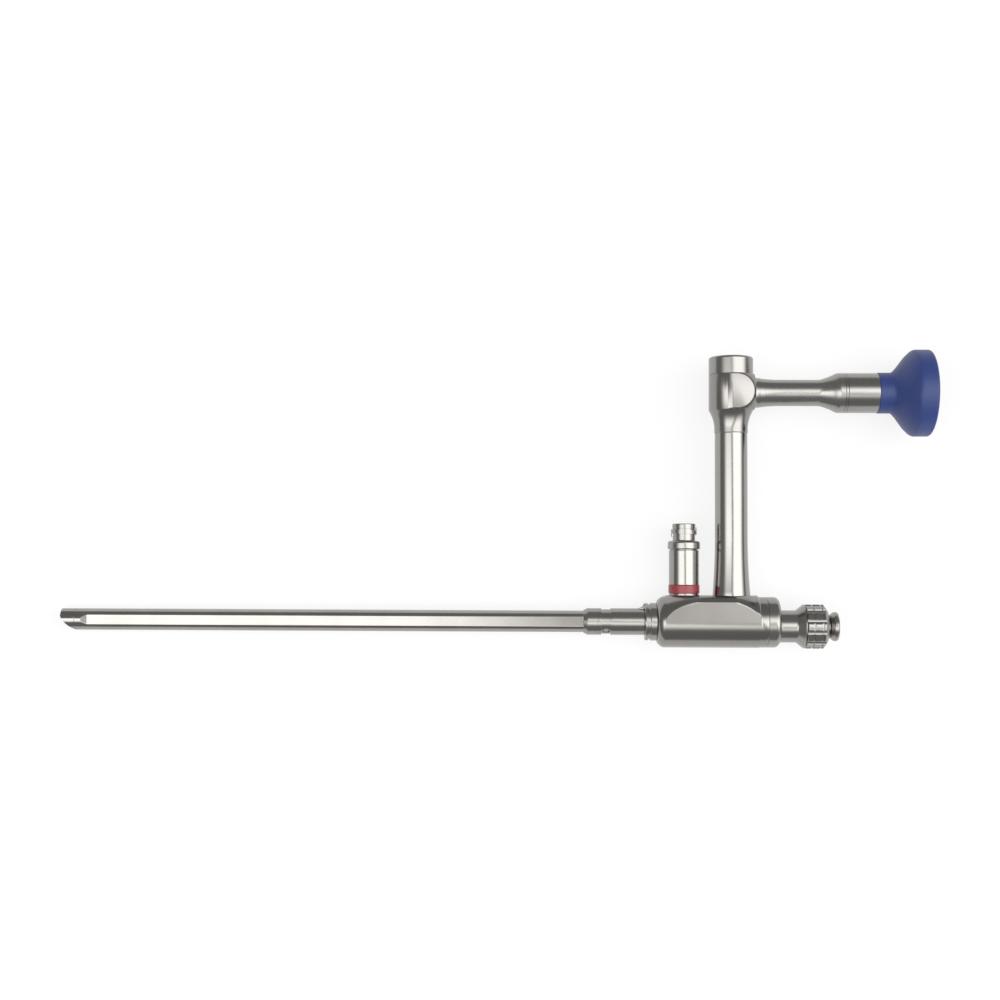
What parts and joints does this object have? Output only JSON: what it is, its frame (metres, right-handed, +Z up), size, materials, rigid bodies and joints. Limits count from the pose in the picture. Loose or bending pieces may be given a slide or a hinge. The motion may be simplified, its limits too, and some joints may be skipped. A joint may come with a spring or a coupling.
{
  "type": "rigid endoscope",
  "caption": "Rigid operating endoscope: straight metal shaft, body with light post and channel port, and an offset eyepiece with a blue round eyecup.",
  "frame": {"origin": "where the shaft axis meets the front face of the flange, which a sheath stops against", "axes": "the instrument lies on its side as on a table: +X from the tip towards the port, +Y towards the offset eyepiece, +Z up from the table"},
  "size_m": [0.32, 0.1099, 0.0322],
  "materials": {
    "steel_polished": "polished stainless steel",
    "steel_satin": "satin, finely blasted stainless steel",
    "steel_tube": "finely turned, half-bright stainless steel",
    "eyecup_blue": "satin heat-proof plastic, mid blue",
    "ring_red": "red coated band",
    "lens_glass": "clear polished glass",
    "window_glass": "clear hard glass",
    "light_fibre": "polished ends of cemented glass fibres",
    "seal_rubber": "soft black rubber",
    "black_metal": "blackened brass, dull"
  },
  "bodies": {
    "scope": {"body_prism": "lens_glass", "body_prism_mount": "black_metal", "cap_seal": "seal_rubber", "colour_ring": "ring_red", "coupling_sleeve": "steel_satin", "distal_tip": "steel_polished", "distal_window": "window_glass", "eyecup": "eyecup_blue", "eyepiece_tube": "steel_tube", "eyepiece_window": "window_glass", "fibre_bundle": "light_fibre", "fibre_face": "light_fibre", "field_stop": "black_metal", "flange_seal": "seal_rubber", "front_flange": "steel_satin", "housing_cap": "steel_satin", "joint_ring": "steel_satin", "knee_prism": "lens_glass", "lens_retainer": "black_metal", "light_ferrule": "steel_polished", "main_body": "steel_satin", "objective_lens": "lens_glass", "ocular_barrel": "steel_satin", "ocular_lens_front": "lens_glass", "ocular_lens_rear": "lens_glass", "ocular_spacer": "black_metal", "optic_tube": "steel_polished", "port_funnel": "steel_satin", "port_gasket": "seal_rubber", "port_neck": "steel_satin", "post_barrel": "steel_tube", "post_base": "steel_satin", "post_nipple": "steel_satin", "prism_cradle": "black_metal", "prism_housing": "steel_satin", "rear_cap": "steel_satin", "relay_cell": "black_metal", "relay_lens_1": "lens_glass", "relay_lens_2": "lens_glass", "relay_lens_3": "lens_glass", "relay_spacers": "black_metal", "riser_tube": "steel_tube", "rod_lens_1": "lens_glass", "rod_lens_2": "lens_glass", "rod_lens_3": "lens_glass", "rod_lens_4": "lens_glass", "rod_lens_5": "lens_glass", "rod_lens_6": "lens_glass", "rod_spacers": "black_metal", "shaft_tube": "steel_polished", "working_channel_tube": "steel_polished"},
    "ring": {"locking_ring": "steel_satin", "ring_pins": "steel_polished"}
  },
  "joints": [
    {"name": "locking_ring_turn", "type": "hinge", "parent": "scope", "child": "ring", "pos_m": [0.06263, -0.00147, 0.00147], "axis": [0.9997, 0, 0.0247], "range_deg": [0, 60]}
  ]
}
